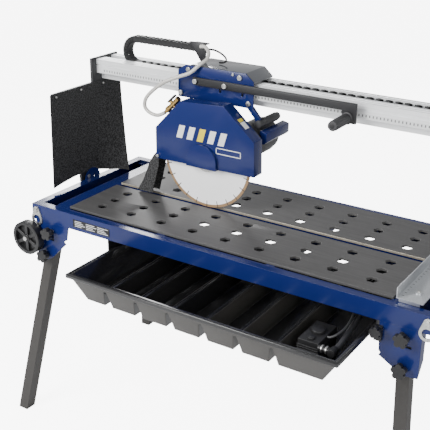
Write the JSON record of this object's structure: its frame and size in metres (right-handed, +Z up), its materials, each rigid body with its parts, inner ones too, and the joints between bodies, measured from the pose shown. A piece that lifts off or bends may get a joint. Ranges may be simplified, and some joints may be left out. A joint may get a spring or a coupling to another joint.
{
  "type": "wet tile saw",
  "caption": "Rail-guided wet tile saw: a water-cooled blade head slides along a tilting bridge over a perforated table on folding legs with a pull-out tray.",
  "frame": {"origin": "centre of the object's box on the floor", "axes": "+X along the rail towards the push handle, +Y from the front to the back, +Z up"},
  "size_m": [1.578, 0.9344, 1.369],
  "materials": {
    "blue": "gloss deep blue",
    "plate_grey": "brushed dark grey coating",
    "zinc": "bright zinc",
    "aluminium": "satin anodised",
    "black_steel": "satin black",
    "dark_tube": "satin dark grey",
    "black_plastic": "matte black",
    "grey_plastic": "matte dark grey",
    "tray_plastic": "semi-gloss black",
    "rubber_sheet": "mottled charcoal",
    "hose": "clear braided",
    "dark_hose": "ribbed dark grey",
    "brass": "polished",
    "blade_white": "bright coated",
    "cover_grey": "gloss grey"
  },
  "bodies": {
    "stand": {"frame_long_beams": "blue", "frame_end_beams": "blue", "frame_cross_members": "blue", "leg_brackets": "blue", "table_plates": "plate_grey", "lifting_eyes": "zinc", "tilt_ears": "blue", "tray_rails": "black_steel", "pivot_bolts": "zinc", "power_inlet": "black_plastic"},
    "front_left_leg": {"leg_front_left": "dark_tube"},
    "front_right_leg": {"leg_front_right": "dark_tube"},
    "rear_left_leg": {"leg_rear_left": "dark_tube"},
    "rear_right_leg": {"leg_rear_right": "dark_tube"},
    "tray": {"water_tray": "tray_plastic", "pump": "black_plastic", "pump_hose": "dark_hose", "pump_cable": "dark_hose", "pump_coupling": "black_plastic"},
    "bridge": {"rail": "aluminium", "end_plates": "black_steel", "curtain_arm": "black_steel", "splash_curtain": "rubber_sheet", "chain_lower": "black_plastic"},
    "chain": {"chain_loop": "black_plastic"},
    "carriage": {"carriage_plate": "blue", "carriage_cover": "cover_grey", "carriage_bolts": "zinc", "glide_pads": "black_plastic", "guide_rods": "zinc", "chain_bracket": "black_steel", "chain_upper": "black_plastic", "handle_arm": "black_steel", "handle_grip": "grey_plastic", "head_cable": "dark_hose"},
    "head": {"blade_guard": "blue", "drive_housing": "blue", "motor": "grey_plastic", "drive_belt": "rubber_sheet", "switch_box": "blue", "head_handle": "grey_plastic", "valve_body": "brass", "splash_flap": "rubber_sheet", "water_hose": "hose"},
    "motor_shaft": {"motor_pulley": "zinc"},
    "water_lever": {"valve_lever": "black_plastic"},
    "blade": {"saw_blade": "blade_white", "spindle": "zinc"},
    "fence_stop": {"fence": "zinc"},
    "knob_front_left": {"knob_front_left": "black_plastic"},
    "knob_front_right": {"knob_front_right": "black_plastic"},
    "knob_rear_left": {"knob_rear_left": "black_plastic"},
    "knob_rear_right": {"knob_rear_right": "black_plastic"},
    "stay_knob_front_left": {"stay_knob_front_left": "black_plastic"},
    "stay_knob_front_right": {"stay_knob_front_right": "black_plastic"},
    "stay_knob_rear_left": {"stay_knob_rear_left": "black_plastic"},
    "stay_knob_rear_right": {"stay_knob_rear_right": "black_plastic"},
    "tray_knob": {"tray_knob": "black_plastic"},
    "wheel_front": {"wheel_front": "grey_plastic"},
    "wheel_rear": {"wheel_rear": "grey_plastic"}
  },
  "joints": [
    {"name": "front_left_fold", "type": "hinge", "parent": "stand", "child": "front_left_leg", "pos_m": [-0.66525, -0.23873, 0.634], "axis": [0, -0.9866, 0.1633], "range_deg": [0, 91]},
    {"name": "front_right_fold", "type": "hinge", "parent": "stand", "child": "front_right_leg", "pos_m": [0.68025, -0.23873, 0.634], "axis": [0, 0.9866, -0.1633], "range_deg": [0, 82]},
    {"name": "rear_left_fold", "type": "hinge", "parent": "stand", "child": "rear_left_leg", "pos_m": [-0.66525, 0.36227, 0.634], "axis": [0, -0.9866, -0.1633], "range_deg": [0, 91]},
    {"name": "rear_right_fold", "type": "hinge", "parent": "stand", "child": "rear_right_leg", "pos_m": [0.68025, 0.36227, 0.634], "axis": [0, 0.9866, 0.1633], "range_deg": [0, 82]},
    {"name": "knob_front_left_turn", "type": "hinge", "parent": "stand", "child": "knob_front_left", "pos_m": [-0.66525, -0.23873, 0.634], "axis": [0, -0.9866, 0.1633], "continuous": true},
    {"name": "knob_front_right_turn", "type": "hinge", "parent": "stand", "child": "knob_front_right", "pos_m": [0.68025, -0.23873, 0.634], "axis": [0, -0.9866, 0.1633], "continuous": true},
    {"name": "knob_rear_left_turn", "type": "hinge", "parent": "stand", "child": "knob_rear_left", "pos_m": [-0.66525, 0.36227, 0.634], "axis": [0, 0.9866, 0.1633], "continuous": true},
    {"name": "knob_rear_right_turn", "type": "hinge", "parent": "stand", "child": "knob_rear_right", "pos_m": [0.68025, 0.36227, 0.634], "axis": [0, 0.9866, 0.1633], "continuous": true},
    {"name": "stay_knob_front_left_turn", "type": "hinge", "parent": "stand", "child": "stay_knob_front_left", "pos_m": [-0.63425, -0.25823, 0.735], "axis": [0, -1, 0], "continuous": true},
    {"name": "stay_knob_front_right_turn", "type": "hinge", "parent": "stand", "child": "stay_knob_front_right", "pos_m": [0.67875, -0.25823, 0.741], "axis": [0, -1, 0], "continuous": true},
    {"name": "stay_knob_rear_left_turn", "type": "hinge", "parent": "stand", "child": "stay_knob_rear_left", "pos_m": [-0.63425, 0.38177, 0.735], "axis": [0, 1, 0], "continuous": true},
    {"name": "stay_knob_rear_right_turn", "type": "hinge", "parent": "stand", "child": "stay_knob_rear_right", "pos_m": [0.67875, 0.38177, 0.741], "axis": [0, 1, 0], "continuous": true},
    {"name": "tray_knob_turn", "type": "hinge", "parent": "stand", "child": "tray_knob", "pos_m": [0.60375, -0.26823, 0.742], "axis": [0, -1, 0], "continuous": true},
    {"name": "wheel_front_roll", "type": "hinge", "parent": "stand", "child": "wheel_front", "pos_m": [-0.72725, -0.27173, 0.699], "axis": [0, 1, 0], "continuous": true},
    {"name": "wheel_rear_roll", "type": "hinge", "parent": "stand", "child": "wheel_rear", "pos_m": [-0.72725, 0.39527, 0.699], "axis": [0, 1, 0], "continuous": true},
    {"name": "tray_slide", "type": "slide", "parent": "stand", "child": "tray", "axis": [0, 1, 0], "range_m": [0, 0.22]},
    {"name": "bridge_tilt", "type": "hinge", "parent": "stand", "child": "bridge", "pos_m": [0.02175, 0.06177, 0.83], "axis": [1, 0, 0], "range_deg": [0, 45]},
    {"name": "carriage_slide", "type": "slide", "parent": "bridge", "child": "carriage", "axis": [1, 0, 0], "range_m": [-0.16, 0.66], "deforming": ["chain_upper", "chain_lower"]},
    {"name": "chain_travel", "type": "slide", "parent": "bridge", "child": "chain", "axis": [1, 0, 0], "range_m": [-0.08, 0.33]},
    {"name": "plunge_slide", "type": "slide", "parent": "carriage", "child": "head", "axis": [0, 0, 1], "range_m": [-0.02, 0.03], "deforming": ["water_hose", "splash_flap"]},
    {"name": "motor_spin", "type": "hinge", "parent": "head", "child": "motor_shaft", "pos_m": [-0.07125, 0.10377, 1.068], "axis": [0, 1, 0], "continuous": true},
    {"name": "blade_spin", "type": "hinge", "parent": "head", "child": "blade", "pos_m": [-0.18625, 0.06177, 1.003], "axis": [0, 1, 0], "continuous": true},
    {"name": "valve_turn", "type": "hinge", "parent": "head", "child": "water_lever", "pos_m": [-0.33026, 0.05927, 1.18001], "axis": [-0.7071, 0, 0.7071], "range_deg": [0, 90]},
    {"name": "fence_slide", "type": "slide", "parent": "stand", "child": "fence_stop", "axis": [1, 0, 0], "range_m": [-0.6, 0.02]}
  ],
  "couplings": [
    {"joint": "chain_travel", "follows": "carriage_slide", "ratio": 0.5},
    {"joint": "motor_spin", "follows": "blade_spin", "ratio": 1}
  ]
}
